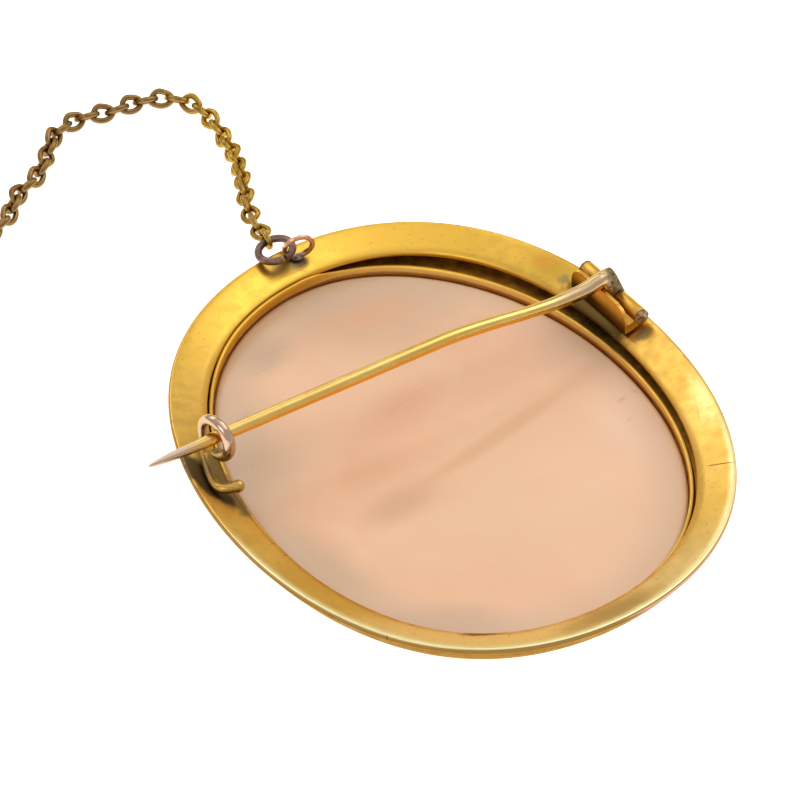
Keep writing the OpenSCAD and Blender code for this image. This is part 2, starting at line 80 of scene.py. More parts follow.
tent = bpy.data.worlds.new("light_tent")
bpy.context.scene.world = tent
tent.use_nodes = True
tent.node_tree.nodes["Background"].inputs["Color"].default_value = tent_colour
tent.node_tree.nodes["Background"].inputs["Strength"].default_value = tent_glow
for name, (wide, high, place, watts, colour) in SOFTBOXES.items():
    deselect()
    bpy.ops.object.light_add(type="AREA", location=place)
    lamp = bpy.context.object
    lamp.name = name
    lamp.data.shape = "RECTANGLE"
    lamp.data.size, lamp.data.size_y = wide, high
    lamp.data.energy = watts
    lamp.data.color = colour
    lamp.rotation_euler = (-Vector(place)).to_track_quat("-Z", "Y").to_euler()
bpy.context.scene.view_settings.view_transform = "Standard"

deselect()
bpy.ops.object.camera_add()
camera = bpy.context.object
camera.name = "camera"
camera_turn = Matrix((camera_right, camera_top, camera_back)).transposed()
camera.matrix_world = Matrix.Translation(camera_place) @ camera_turn.to_4x4()
camera.data.sensor_width = camera_sensor
camera.data.lens = camera_lens
camera.data.shift_x, camera.data.shift_y = camera_shift
camera.data.clip_start, camera.data.clip_end = camera_near, camera_far
bpy.context.scene.camera = camera

# Frame: a back plate that slopes in to the opening, an edge band, a hollow front moulding and
# the bezel strip round the shell. Thin yellow gold sheet, soldered into one and filed by hand,
# with the satin, small cracks and tarnish of long wear.
lean = math.radians(3.83423)
rest_height = 4.53314 * mm
to_table = Matrix.Translation((0, 0, rest_height)) @ Matrix.Rotation(-lean, 4, "X")
to_plate = to_table.inverted()
half_width, half_length = 19.5, 25.0
opening_half_width, opening_half_length = 16.5, 22.0
# the hand-made oval has faint corners: how many, their share of its size, and the angle of one
CORNERS = ((3, 0.005, 261), (4, 0.013, 235))
# the bezel sways near the chain loop, about a middle and over a spread in degrees of the oval
sway_depth, sway_middle, sway_spread = 0.75, 82.5, 39
# left of the loop the bezel strip is pressed up to the plate and shuts the gap
strip_height, strip_slack, strip_inset, strip_rise, strip_gap = -1.7, 0.03, 1.9, 0.66, 0.17
strip_starts, strip_ends = (92, 102), (158, 124)
crease_angle, crease_share = math.radians(48), 0.7
merge_within = 0.002 * mm
deep_gold, pale_gold, ridge_highlight_gold = (0.85, 0.515, 0.072), (0.98, 0.72, 0.30), (1.0, 0.90, 0.48)
band_shade_brown, edge_rose, speck_orange = (0.22, 0.11, 0.010), (0.56, 0.31, 0.23), (0.55, 0.28, 0.04)
gap_shade_brown, lit_wall_gold, line_brown = (0.46, 0.20, 0.015), (1.0, 0.72, 0.26), (0.46, 0.20, 0.04)
solder_grey, heat_orange = (0.32, 0.24, 0.10), (0.72, 0.30, 0.05)
scratch_brown, crack_black = (0.25, 0.13, 0.03), (0.10, 0.05, 0.02)


def select_only(piece):
    deselect()
    piece.select_set(True)
    bpy.context.view_layer.objects.active = piece


def open_mesh():
    """Opens the mesh of the active piece, with all of it selected."""
    bpy.ops.object.mode_set(mode="EDIT")
    bpy.ops.mesh.select_all(action="SELECT")


def lay_down(piece):
    """Turns and lifts a piece made with the plate's ridge at height 0 to where it lies."""
    select_only(piece)
    piece.matrix_world = to_table @ piece.matrix_world
    bpy.ops.object.transform_apply(location=True, rotation=True, scale=True)
    return piece


def copy_of_solid(node, name):
    """A copy of a solid with its points merged and its flat triangles joined to fours."""
    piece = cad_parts[node].copy()
    piece.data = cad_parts[node].data.copy()
    piece.name = piece.data.name = name
    piece.parent = None
    bpy.context.collection.objects.link(piece)
    piece.matrix_world = Matrix.Identity(4)
    for key in list(piece.keys()):
        del piece[key]
    select_only(piece)
    bpy.ops.mesh.customdata_custom_splitnormals_clear()
    open_mesh()
    bpy.ops.mesh.remove_doubles(threshold=merge_within)
    bpy.ops.mesh.tris_convert_to_quads(face_threshold=0.9, shape_threshold=1.2)
    bpy.ops.object.mode_set(mode="OBJECT")
    piece.data.materials.clear()
    return piece


def apply_modifier(piece, kind, **settings):
    select_only(piece)
    bpy.ops.object.modifier_add(type=kind)
    modifier = piece.modifiers[-1]
    for setting, value in settings.items():
        setattr(modifier, setting, value)
    bpy.ops.object.modifier_apply(modifier=modifier.name)
    return piece


class Finish:
    """A finish of metal or shell, painted on the piece in millimetres from the middle of the oval,
    with the plate's ridge at height 0."""

    def __init__(self, name, colour, metal, rough):
        self.paint = bpy.data.materials.new(name)
        self.paint.use_nodes = True
        self.tree = self.paint.node_tree
        self.shader = self.tree.nodes["Principled BSDF"]
        self.shader.inputs["Metallic"].default_value = metal
        self.shader.inputs["Roughness"].default_value = rough
        self.shader.inputs["Base Color"].default_value = (*colour, 1)
        self.colour, self.rough, self.normal = (*colour, 1), rough, None
        place = self.tree.nodes.new("ShaderNodeTexCoord")
        level = self.tree.nodes.new("ShaderNodeMapping")
        level.vector_type = "TEXTURE"
        level.inputs["Location"].default_value = (0, 0, rest_height)
        level.inputs["Rotation"].default_value = (-lean, 0, 0)
        level.inputs["Scale"].default_value = (mm, mm, mm)
        self.tree.links.new(place.outputs["Object"], level.inputs["Vector"])
        self.place, self.facing = level.outputs["Vector"], place.outputs["Normal"]

    def node(self, kind, settings=None, **inputs):
        """A node with its settings and inputs: i0 is the first input, others go by name."""
        made = self.tree.nodes.new("ShaderNode" + kind)
        for setting, value in (settings or {}).items():
            setattr(made, setting, value)
        for key, value in inputs.items():
            socket = made.inputs[int(key[1:]) if key[1:].isdigit() else key]
            if isinstance(value, bpy.types.NodeSocket):
                self.tree.links.new(value, socket)
            else:
                socket.default_value = value
        return made

    def calc(self, how, first, second=0.0, third=0.0):
        return self.node("Math", {"operation": how}, i0=first, i1=second, i2=third).outputs[0]

    def both(self, first, second):
        """1 where both masks are 1, or a mask times a share."""
        return self.calc("MULTIPLY", first, second)

    def vector(self, how, first, second=(0, 0, 0)):
        made = self.node("VectorMath", {"operation": how}, i0=first, i1=second)
        return made.outputs["Value" if how in ("LENGTH", "DOT_PRODUCT") else "Vector"]

    def parts(self, vector):
        """Its parts across the oval, along it and upwards."""
        return self.node("SeparateXYZ", Vector=vector).outputs

    def ramp(self, value, start, end):
        """From 0 to 1 as the value goes from start to end, smoothly."""
        shape = {"interpolation_type": "SMOOTHSTEP", "clamp": True}
        return self.node("MapRange", shape, i0=value, i1=start, i2=end).outputs[0]

    def clouds(self, size, detail=3.0, seed=0.0, stretch=(1, 1, 1), turn=0.0, warp=0.0):
        """Uneven noise about 0.5, with blots of about that size in millimetres."""
        shift, shrink = (seed, seed * 0.7, -seed), tuple(1 / share for share in stretch)
        moved = self.node(
            "Mapping", Vector=self.place, Location=shift, Scale=shrink, Rotation=(0, 0, turn)
        ).outputs[0]
        return self.node(
            "TexNoise", Vector=moved, Scale=1 / size, Detail=detail, Distortion=warp
        ).outputs[0]

    def blots(self, size, start, end, detail=3.0, **more):
        """1 in uneven blots of about that size and 0 between them."""
        return self.ramp(self.clouds(size, detail, **more), start, end)

    def spot(self, place, size, turn=0.0, soft=0.6, ragged=0.0, blot=0.6):
        """1 inside an oval spot of those half sizes, fading to 0 at its edge."""
        level = (0, 0, math.radians(turn))
        local = self.node(
            "Mapping", {"vector_type": "TEXTURE"},
            Vector=self.place, Location=place, Rotation=level, Scale=size,
        ).outputs[0]
        far = self.vector("LENGTH", local)
        if ragged:
            uneven = self.calc("SUBTRACT", self.clouds(blot, 4, seed=place[0]), 0.5)
            far = self.calc("MULTIPLY_ADD", uneven, ragged, far)
        return self.ramp(far, 1.0, 1.0 - soft)

    def tint(self, mask, colour, share=1.0):
        """Lays a colour over what is there."""
        if share != 1.0:
            mask = self.both(mask, share)
        made = self.node("Mix", {"data_type": "RGBA"}, i0=mask, i6=self.colour, i7=(*colour, 1))
        self.colour = made.outputs[2]
        self.tree.links.new(self.colour, self.shader.inputs["Base Color"])

    def dull(self, mask, rough):
        """Makes the surface as rough as that where the mask is 1."""
        made = self.node("Mix", {"data_type": "FLOAT"}, i0=mask, i2=self.rough, i3=rough)
        self.rough = made.outputs[0]
        self.tree.links.new(self.rough, self.shader.inputs["Roughness"])

    def stain(self, place, size, turn, colour, share, rough=None, **edge):
        """Tints an oval spot, and dulls it where it is given a roughness."""
        mask = self.spot(place, size, turn, **edge)
        self.tint(mask, colour, share)
        if rough:
            self.dull(mask, rough)

    def relief(self, height, depth):
        """Raises or sinks the surface by up to that depth in millimetres."""
        made = self.node("Bump", Height=height, Distance=depth * mm, Strength=1.0)
        if self.normal:
            self.tree.links.new(self.normal, made.inputs["Normal"])
        self.normal = made.outputs[0]
        self.tree.links.new(self.normal, self.shader.inputs["Normal"])


def yellow_gold(name, colour=(0.80, 0.50, 0.115), rough=0.30, grain=0.004, dents=0.012):
    """Satin yellow gold with an uneven tone, and a grain and dents of those depths."""

    def deeper(*shares):
        return tuple(part * share for part, share in zip(colour, shares))

    gold = Finish(name, colour, 1.0, rough)
    gold.shader.inputs["Specular Tint"].default_value = (1.0, 0.84, 0.52, 1)
    gold.tint(gold.blots(5.0, 0.42, 0.70), deeper(0.86, 0.80, 0.62), 0.7)
    gold.tint(gold.blots(0.5, 0.55, 0.75, detail=4, seed=3), deeper(0.78, 0.70, 0.6), 0.35)
    gold.dull(gold.blots(0.9, 0.35, 0.7, detail=4, seed=7), rough + 0.13)
    if grain:
        gold.relief(gold.clouds(0.12, 3, seed=2), grain)
    if dents:
        gold.relief(gold.clouds(3.5, 2, seed=5), dents)
    return gold


def oval(turn, inset):
    """Point of the oval at an angle, moved inwards, and the direction outwards there."""
    grown = 1 + sum(share * math.cos(n * turn - math.radians(at)) for n, share, at in CORNERS)
    out = Vector((math.cos(turn) / half_width, math.sin(turn) / half_length, 0)).normalized()
    edge = Vector((half_width * math.cos(turn) * grown, half_length * math.sin(turn) * grown, 0))
    return edge - inset * out, out


def sway(turn):
    """How far the bezel stands inwards of its true place near the chain loop."""
    swing = (math.degrees(turn) - sway_middle) / sway_spread
    return -sway_depth * math.sqrt(2) * math.exp(0.5) * swing * math.exp(-swing * swing)


def fade(value, start, end):
    """From 0 to 1 as the value goes from start to end, smoothly."""
    share = min(1.0, max(0.0, (value - start) / (end - start)))
    return share * share * (3 - 2 * share)


gold_frame = copy_of_solid("frame", "gold_frame")
for vertex in gold_frame.data.vertices:
    place = (to_plate @ vertex.co) / mm
    turn = math.atan2(place.y / opening_half_length, place.x / opening_half_width)
    edge, out = oval(turn, 0)
    edge.z = place.z
    inset = (edge - place).dot(out)
    degrees = math.degrees(turn)
    shut = fade(degrees, *strip_starts) * fade(degrees, *strip_ends)
    if abs(place.z - strip_height) < strip_slack and inset > strip_inset and shut > 0:
        place += shut * (out * (strip_gap + sway(turn)) + Vector((0, 0, strip_rise)))
        vertex.co = to_table @ (place * mm)
bpy.ops.object.mode_set(mode="EDIT")
bpy.ops.mesh.select_mode(type="EDGE")
bpy.ops.mesh.select_all(action="DESELECT")
bpy.ops.mesh.edges_select_sharp(sharpness=crease_angle)
bpy.ops.transform.edge_crease(value=crease_share)
bpy.ops.object.mode_set(mode="OBJECT")
apply_modifier(gold_frame, "SUBSURF", levels=2, render_levels=2)
bpy.ops.object.shade_smooth()
frame_gold = yellow_gold("frame_gold")
across, along, height = frame_gold.parts(frame_gold.place)
facing_up = frame_gold.parts(frame_gold.facing)[2]
# the gold is deeper at the end with the chain and paler at the other end
frame_gold.tint(frame_gold.ramp(along, 6.0, 21.0), deep_gold, 0.85)
frame_gold.tint(frame_gold.ramp(along, -15.0, -21.0), pale_gold, 0.8)
# darker and paler patches, partly painted light: a painted highlight along the right edge with
# painted shade inside it, and painted shade in part of the dark patch at the near end. Columns:
# place, half sizes, turn, softness, raggedness, blots, colour, share
for place, size, turn, soft, ragged, blot, colour, share in (
    ((3.4, -22.7, -0.5), (6.0, 1.9, 3.0), 14, 0.8, 0.4, 2, (0.46, 0.275, 0.08), 0.75),
    ((14.5, 14.8, -0.5), (2.8, 4.6, 3.0), 31, 0.9, 0.4, 2, (0.50, 0.30, 0.045), 0.8),
    ((16.8, 1.0, -0.6), (1.5, 5.0, 3.0), 2, 0.9, 0.4, 2, (0.66, 0.40, 0.075), 0.6),
    ((18.5, -3.5, -0.3), (1.2, 4.5, 3.0), -8, 0.9, 0.5, 1, (1.0, 0.80, 0.34), 0.65),
):
    frame_gold.stain(place, size, turn, colour, share, soft=soft, ragged=ragged, blot=blot)
# handling has left orange specks and fine scratches all over it
frame_gold.tint(frame_gold.blots(0.32, 0.60, 0.72, detail=5, seed=17), speck_orange, 0.5)
frame_gold.relief(frame_gold.clouds(0.12, 3, seed=19, stretch=(12, 1, 1), turn=0.9), 0.005)
# the edge band is painted gold brown as shade under the ridge, down to the moulding, with a thin
# rosy line along the ridge that widens to the whole band on the side of the hinge, and the ridge
# itself is painted bright as a highlight
steepness = (1 / half_width**2, 1 / half_length**2, 0)
outward = frame_gold.vector("NORMALIZE", frame_gold.vector("MULTIPLY", frame_gold.place, steepness))
looks_out = frame_gold.vector("DOT_PRODUCT", outward, frame_gold.facing)
outside = frame_gold.ramp(looks_out, 0.0, 0.3)
shaded_band = frame_gold.both(frame_gold.ramp(height, -0.04, -0.10), outside)
frame_gold.tint(shaded_band, band_shade_brown, 0.97)
rose_depth = frame_gold.calc("MULTIPLY_ADD", frame_gold.ramp(across, 3.0, 9.0), 0.42, height)
leans_out = frame_gold.ramp(facing_up, 0.62, 0.40)
frame_gold.tint(
    frame_gold.both(leans_out, frame_gold.ramp(rose_depth, -0.24, -0.12)), edge_rose, 0.9
)
# painted highlight along the ridge at the near end, where it faces up
ridge_highlight = frame_gold.both(
    frame_gold.ramp(height, -0.19, -0.04), frame_gold.ramp(along, -3.0, -11.0)
)
ridge_highlight = frame_gold.both(ridge_highlight, frame_gold.ramp(facing_up, 0.45, 0.75))
frame_gold.tint(ridge_highlight, ridge_highlight_gold, 0.85)
# painted shade down in the gap between the plate and the bezel, painted light on the bezel's inner
# wall, and a thin line of grime along the shell
shaded_gap = frame_gold.both(
    frame_gold.ramp(height, -1.15, -1.75), frame_gold.ramp(looks_out, -0.2, 0.4)
)
frame_gold.tint(shaded_gap, gap_shade_brown, 0.85)
frame_gold.dull(shaded_gap, 0.55)
looks_in = frame_gold.ramp(looks_out, -0.3, -0.7)
# the bezel's inner wall is painted pale gold, as light on it
frame_gold.tint(frame_gold.both(frame_gold.ramp(height, -1.60, -2.1), looks_in), lit_wall_gold, 0.95)
uneven_height = frame_gold.calc("MULTIPLY_ADD", frame_gold.clouds(0.7, 3, seed=12), 0.14, height)
at_shell = frame_gold.both(frame_gold.ramp(uneven_height, -2.04, -2.12), looks_in)
frame_gold.tint(at_shell, line_brown, 0.6)
# dark tarnish under the catch, in front of the hinge, and round the chain loop
for place, size, turn, soft, colour in (
    ((-16.8, 0.3, -0.6), (1.6, 5.4, 2.0), 8, 0.40, (0.18, 0.125, 0.055)),
    ((-18.45, 0.9, -0.2), (0.95, 3.5, 2.0), 9, 0.40, (0.065, 0.050, 0.038)),
    ((-17.6, -1.3, -0.5), (0.75, 1.6, 2.0), 14, 0.45, (0.080, 0.060, 0.042)),
    ((15.3, 9.2, -0.6), (1.5, 4.8, 2.0), 13, 0.40, (0.085, 0.052, 0.018)),
    ((-5.6, -21.2, -1.0), (1.9, 0.5, 1.5), -14, 0.60, (0.25, 0.13, 0.03)),
    ((-4.6, 22.5, -0.4), (2.6, 1.2, 2.0), 8, 0.80, (0.45, 0.29, 0.08)),
    ((-3.5, 22.7, -0.4), (1.1, 0.8, 2.0), 8, 0.60, (0.17, 0.13, 0.07)),
):
    frame_gold.stain(place, size, turn, colour, 0.92, rough=0.42, soft=soft, ragged=0.5)
# solder stains at both ends of the hinge, and heat stain beside it
for place, size in (((14.4, 13.7, -0.5), (0.6, 0.7, 2.0)), ((17.2, 5.3, -0.4), (0.9, 0.7, 2.0))):
    frame_gold.stain(place, size, 25, solder_grey, 0.85, rough=0.5, soft=0.7, ragged=1.1, blot=0.5)
frame_gold.stain(
    (13.7, 16.0, -0.3), (1.3, 0.9, 2.0), -40, heat_orange, 0.5, soft=0.9, ragged=0.5
)
# file marks near the hinge, and faint scratches
for place in ((12.2, 19.3, 0), (18.4, 3.4, -0.1), (18.6, 1.0, -0.1)):
    filed = frame_gold.spot(place, (0.7, 1.5, 2.0), 30, soft=0.7, ragged=0.8)
    strokes = frame_gold.clouds(0.2, 3, seed=4, stretch=(4, 1, 1), turn=0.6)
    frame_gold.relief(frame_gold.both(filed, strokes), 0.035)
for place, length, turn in (
    ((-8.2, 20.4, -0.5), 0.9, 35),
    ((-7.7, 20.0, -0.7), 0.6, -20),
    ((-11.2, 18.6, -0.5), 0.8, 60),
    ((-13.6, 15.4, -0.5), 0.7, 15),
    ((17.6, -4.6, -0.5), 0.9, 75),
    ((9.5, -18.2, -0.6), 0.8, 10),
    ((-8.0, -20.9, -0.5), 0.5, 40),
    ((-14.3, -15.5, -0.5), 3.4, -60),
):
    size = (length, 0.03, 1.5)
    frame_gold.stain(place, size, turn, scratch_brown, 0.6, soft=0.8, ragged=0.5, blot=0.4)
# cracks and nicks: place, half length, half width, turn
for place, length, width, turn in (
    ((16.8, -10.7, -0.4), 1.25, 0.06, -31),
    ((-15.6, -7.1, -0.9), 0.7, 0.04, 20),
    ((-15.3, -8.6, -0.9), 0.6, 0.04, 30),
    ((-18.7, 7.4, 0), 0.5, 0.05, -8),
    ((-12.1, -20.2, 0), 0.35, 0.08, 60),
):
    crack = frame_gold.spot(place, (length, width, 1.5), turn, soft=0.5, ragged=0.8, blot=0.3)
    frame_gold.tint(crack, crack_black, 0.85)
    frame_gold.relief(frame_gold.calc("SUBTRACT", 1.0, crack), 0.03)
gold_frame.data.materials.append(frame_gold.paint)
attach(gold_frame, "brooch_body")
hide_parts("frame")

# Cameo: one piece of helmet-type shell, ground hollow and smooth at the back, and carved with a
# plain spray of blossom and leaves on the front. It is held between the bezel and its lip.
shell_half_width, shell_half_length = 15.9, 21.4
cream, peach, edge_cream = (0.86, 0.55, 0.35), (0.84, 0.49, 0.30), (0.64, 0.47, 0.335)
streak_tan, grime_brown, dirt_brown = (0.76, 0.435, 0.235), (0.26, 0.13, 0.05), (0.52, 0.30, 0.14)
hairline_brown, line_grey = (0.50, 0.27, 0.16), (0.48, 0.38, 0.28)
cameo_shell = copy_of_solid("cameo", "cameo_shell")
apply_modifier(cameo_shell, "SUBSURF", levels=2, render_levels=2)
bpy.ops.object.shade_smooth()
shell = Finish("carved_shell", cream, 0.0, 0.34)
depth = shell.parts(shell.place)[2]
shell.shader.inputs["Specular IOR Level"].default_value = 0.5
shell.shader.inputs["Subsurface Weight"].default_value = 0.25
shell.shader.inputs["Subsurface Radius"].default_value = (1.0, 0.5, 0.3)
shell.shader.inputs["Subsurface Scale"].default_value = 0.4 * mm
shell.tint(shell.blots(9.0, 0.38, 0.66, seed=11, warp=0.4), peach, 0.7)
# the dusky far end and left side, the pink in the middle and the grey cream edge
for place, size, turn, colour, share in (
    ((1.0, 19.5, -2.5), (15.0, 11.0, 9.0), 0, (0.60, 0.405, 0.265), 0.85),
    ((-14.5, 5.0, -2.5), (7.0, 13.0, 9.0), 0, (0.60, 0.43, 0.29), 0.75),
    ((0.3, 17.3, -2.5), (6.0, 3.0, 9.0), 10, (0.76, 0.42, 0.24), 0.7),
    ((-1.0, 6.4, -2.7), (6.5, 2.8, 9.0), 28, (0.80, 0.42, 0.26), 0.7),
    ((-5.2, -4.3, -2.7), (5.2, 2.3, 9.0), 26, (0.68, 0.385, 0.215), 0.7),
    ((13.5, 7.0, -2.5), (5.0, 8.0, 9.0), 30, (0.68, 0.46, 0.32), 0.6),
    ((8.0, -6.0, -2.6), (8.0, 6.0, 9.0), 20, (0.90, 0.60, 0.40), 0.5),
    ((12.8, -1.5, -2.6), (3.0, 6.0, 9.0), 0, (0.87, 0.64, 0.49), 0.5),
    ((-6.5, 0.3, -2.6), (5.5, 3.2, 9.0), 10, (0.75, 0.415, 0.245), 0.5),
    ((-9.4, 15.2, -2.6), (3.6, 3.0, 9.0), 30, (0.46, 0.33, 0.22), 0.6),
    ((-13.0, -9.0, -2.6), (3.6, 9.0, 9.0), 22, (0.55, 0.375, 0.24), 0.7),
    ((-7.0, -18.0, -2.6), (7.0, 3.4, 9.0), -20, (0.55, 0.375, 0.25), 0.6),
):
    shell.stain(place, size, turn, colour, share, soft=0.95, ragged=0.4, blot=4)
shrunk = shell.vector("MULTIPLY", shell.place, (1 / shell_half_width, 1 / shell_half_length, 0))
shell.tint(shell.ramp(shell.vector("LENGTH", shrunk), 0.78, 1.0), edge_cream, 0.55)
# the tan streak that crosses the hollow
shell.stain(
    (4.2, 0.65, -2.7), (12.5, 1.1, 9.0), 25.3, streak_tan, 0.7, soft=0.8, ragged=0.3, blot=3
)
# specks of grime along the bezel
grime = shell.both(shell.blots(0.5, 0.60, 0.68, seed=21), shell.ramp(depth, -2.27, -2.22))
shell.tint(grime, grime_brown, 0.8)
# hairline scratches, faint grey lines and specks of dirt
for place, size, turn in (
    ((-1.8, 6.2, -2.8), (2.6, 0.035, 9.0), 27),
    ((-2.6, 5.5, -2.8), (1.6, 0.03, 9.0), 31),
    ((0.8, 7.6, -2.8), (1.9, 0.03, 9.0), 24),
    ((6.0, -3.0, -2.8), (1.2, 0.025, 9.0), 15),
):
    shell.stain(place, size, turn, hairline_brown, 0.5, soft=0.9)
for place, size, turn in (
    ((-8.5, 15.2, -2.4), (3.2, 0.16, 9.0), 12),
    ((-9.6, 13.4, -2.4), (2.4, 0.12, 9.0), 18),
    ((-12.4, 8.5, -2.4), (1.4, 1.0, 9.0), 40),
):
    shell.stain(place, size, turn, line_grey, 0.3, soft=0.9, ragged=0.8)
for place, size in (
    ((13.9, 0.9, -2.4), (0.7, 0.3, 9.0)),
    ((15.2, 1.4, -2.4), (0.3, 0.5, 9.0)),
    ((13.5, -1.5, -2.4), (0.5, 0.16, 9.0)),
    ((-13.95, 3.13, -2.4), (0.14, 0.14, 9.0)),
    ((9.0, 14.5, -2.5), (0.1, 0.1, 9.0)),
):
    shell.stain(place, size, 30, dirt_brown, 0.4, soft=0.9, ragged=1.6, blot=0.2)
shell.relief(shell.clouds(0.6, 3, seed=31, stretch=(5, 1, 1), turn=0.45), 0.004)
shell.dull(shell.blots(1.2, 0.4, 0.7, detail=4, seed=33), 0.45)
cameo_shell.data.materials.append(shell.paint)
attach(cameo_shell, "brooch_body")
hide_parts("cameo")

# Hinge: an arched wall and two tubes on a small base, bent up and filed from gold sheet, and
# soldered to the plate. Grey solder shows at both ends, and the faces keep their file marks.
hinge_place = (16.7024, 9.5525)
pin_turn = math.radians(12.7646)
tube_radius, axis_height = 0.60, 0.62
filed_edge, same_face, shaded_edge = 0.08, 1.5, 35
hinge_colour, wall_shade_brown = (0.74, 0.42, 0.08), (0.08, 0.028, 0.002)


def at_hinge(piece):
    """Sets a piece, made with the hinge's axis along Y and the pin along -X, on the plate."""
    moved = Matrix.Translation((hinge_place[0] * mm, hinge_place[1] * mm, 0))
    piece.matrix_world = moved @ Matrix.Rotation(pin_turn, 4, "Z") @ piece.matrix_world
    return lay_down(piece)


def soften(piece, width, angle=30, steps=2):
    """Joins the triangles of flat faces and rounds the edges, as a file and a polisher do."""
    select_only(piece)
    open_mesh()
    bpy.ops.mesh.dissolve_limited(angle_limit=math.radians(same_face))
    bpy.ops.object.mode_set(mode="OBJECT")
    apply_modifier(
        piece, "BEVEL", width=width * mm, segments=steps,
        limit_method="ANGLE", angle_limit=math.radians(angle), use_clamp_overlap=True,
    )
    select_only(piece)
    bpy.ops.object.shade_smooth_by_angle(angle=math.radians(shaded_edge))
    return piece


hinge_block = soften(copy_of_solid("hinge", "hinge_block"), filed_edge)
hinge_gold = yellow_gold("hinge_gold", hinge_colour, 0.30)
# the wall's face towards the pin is painted dark brown towards its foot: painted shade and painted
# reflection of the dark around it
low_on_wall = hinge_gold.ramp(hinge_gold.parts(hinge_gold.place)[2], 1.2, -0.1)
faces_pin = hinge_gold.ramp(hinge_gold.parts(hinge_gold.facing)[0], -0.4, -0.8)
hinge_gold.tint(hinge_gold.both(low_on_wall, faces_pin), wall_shade_brown, 0.92)
hinge_gold.relief(hinge_gold.clouds(0.10, 3, seed=8, stretch=(5, 1, 1), turn=0.6), 0.01)
hinge_block.data.materials.append(hinge_gold.paint)
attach(hinge_block, "brooch_body")
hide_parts("hinge")

# Rivet of the hinge: a piece of grey wire through the tubes and the head of the pin. Both of its
# ends are hammered flat over the tubes, which spreads them and leaves them rough.
rivet_reach, head_spread = 0.4, 1.36
rivet_grey, rivet_dark = (0.42, 0.29, 0.18), (0.13, 0.09, 0.05)
rivet_wire = copy_of_solid("rivet", "rivet_wire")
rivet_middle = Vector((*hinge_place, axis_height))
hinge_line = Vector((-math.sin(pin_turn), math.cos(pin_turn), 0))
for vertex in rivet_wire.data.vertices:
    place = (to_plate @ vertex.co) / mm - rivet_middle
    on_axis = place.dot(hinge_line) * hinge_line
    if (place - on_axis).length > rivet_reach:
        place = on_axis + (place - on_axis) * head_spread
        vertex.co = to_table @ ((place + rivet_middle) * mm)
soften(rivet_wire, 0.07, steps=3)
rivet_metal = Finish("rivet_metal", rivet_grey, 1.0, 0.40)
rivet_metal.tint(rivet_metal.blots(0.30, 0.42, 0.58, detail=4), rivet_dark, 0.85)
rivet_metal.relief(rivet_metal.clouds(0.16, 3, seed=2, stretch=(1, 1, 4)), 0.05)
rivet_wire.data.materials.append(rivet_metal.paint)
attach(rivet_wire, "brooch_body")
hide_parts("rivet")

# Pin: drawn gold wire with a bow, a slow bend near the hinge and a ground point. Its head is a
# hammered and filed block that is bored for the rivet and turns between the two tubes.
shaft_start, shaft_radius, shaft_height, shaft_bow = 0.65, 0.50, 2.10, 0.50
pin_run, point_length, point_drop = 34.5142, 5.55, 0.3
# the shaft: shares of its run, of its bow and of its radius
SHAFT = (
    (-0.006, 0.66, 0.90),
    (0.020, 0.28, 1.20),
    (0.050, -0.28, 1.16),
    (0.088, -0.52, 1.08),
    (0.130, -0.60, 1.02),
    (0.195, -0.32, 0.96),
    (0.280, 0.32, 0.98),
    (0.360, 0.84, 1.00),
    (0.405, 0.98, 1.01),
    (0.460, 0.93, 1.02),
    (0.640, 0.62, 1.02),
    (0.860, 0.23, 1.00),
    (0.940, 0.10, 0.96),
    (1.000, 0.00, 0.92),
)
# the point: share of its length, and radius
POINT = (
    (0.155, 0.44),
    (0.40, 0.395),
    (0.65, 0.325),
    (0.78, 0.275),
    (0.88, 0.205),
    (0.94, 0.155),
    (0.98, 0.10),
    (1.0, 0.05),
)
# the head: a round knuckle and three discs in one skin, each with its radius as a share of the
# shaft's, its thickness and its place
knuckle_length, knuckle_shift, head_voxel = 2.4, 0.4, 0.07
HEAD_DISCS = (
    (1.08, 0.4, (-1.05, 0, 2.32)),
    (0.98, 0.5, (-0.45, 0.1, 2.42)),
    (0.5, 0.4, (0.05, 0.15, 1.95)),
)
pin_colour, pin_reflection_orange, pin_neck = (0.86, 0.59, 0.19), (0.88, 0.46, 0.045), (0.56, 0.41, 0.27)
head_dark, head_pits, point_pink = (0.15, 0.115, 0.065), (0.07, 0.055, 0.035), (0.60, 0.46, 0.38)


def bent_wire(name, points, radii, round_steps=8, smooth_steps=8):
    """A round wire that is bent through the points, made as a curve and turned into a mesh."""
    deselect()
    bpy.ops.curve.primitive_bezier_curve_add()
    wire = bpy.context.object
    wire.name = name
    bpy.ops.object.mode_set(mode="EDIT")
    bpy.ops.curve.select_all(action="SELECT")
    bpy.ops.curve.subdivide(number_cuts=len(points) - 2)
    for knot, place, radius in zip(wire.data.splines[0].bezier_points, points, radii):
        knot.co = Vector(place) * mm
        knot.radius = radius
    bpy.ops.curve.handle_type_set(type="AUTOMATIC")
    bpy.ops.object.mode_set(mode="OBJECT")
    wire.data.dimensions = "3D"
    wire.data.resolution_u = smooth_steps
    wire.data.bevel_depth = mm
    wire.data.bevel_resolution = round_steps
    wire.data.use_fill_caps = True
    bpy.ops.object.convert(target="MESH")
    wire = bpy.context.object
    open_mesh()
    bpy.ops.mesh.remove_doubles(threshold=merge_within)
    bpy.ops.mesh.normals_make_consistent(inside=False)
    bpy.ops.object.mode_set(mode="OBJECT")
    wire.data.name = name
    return wire


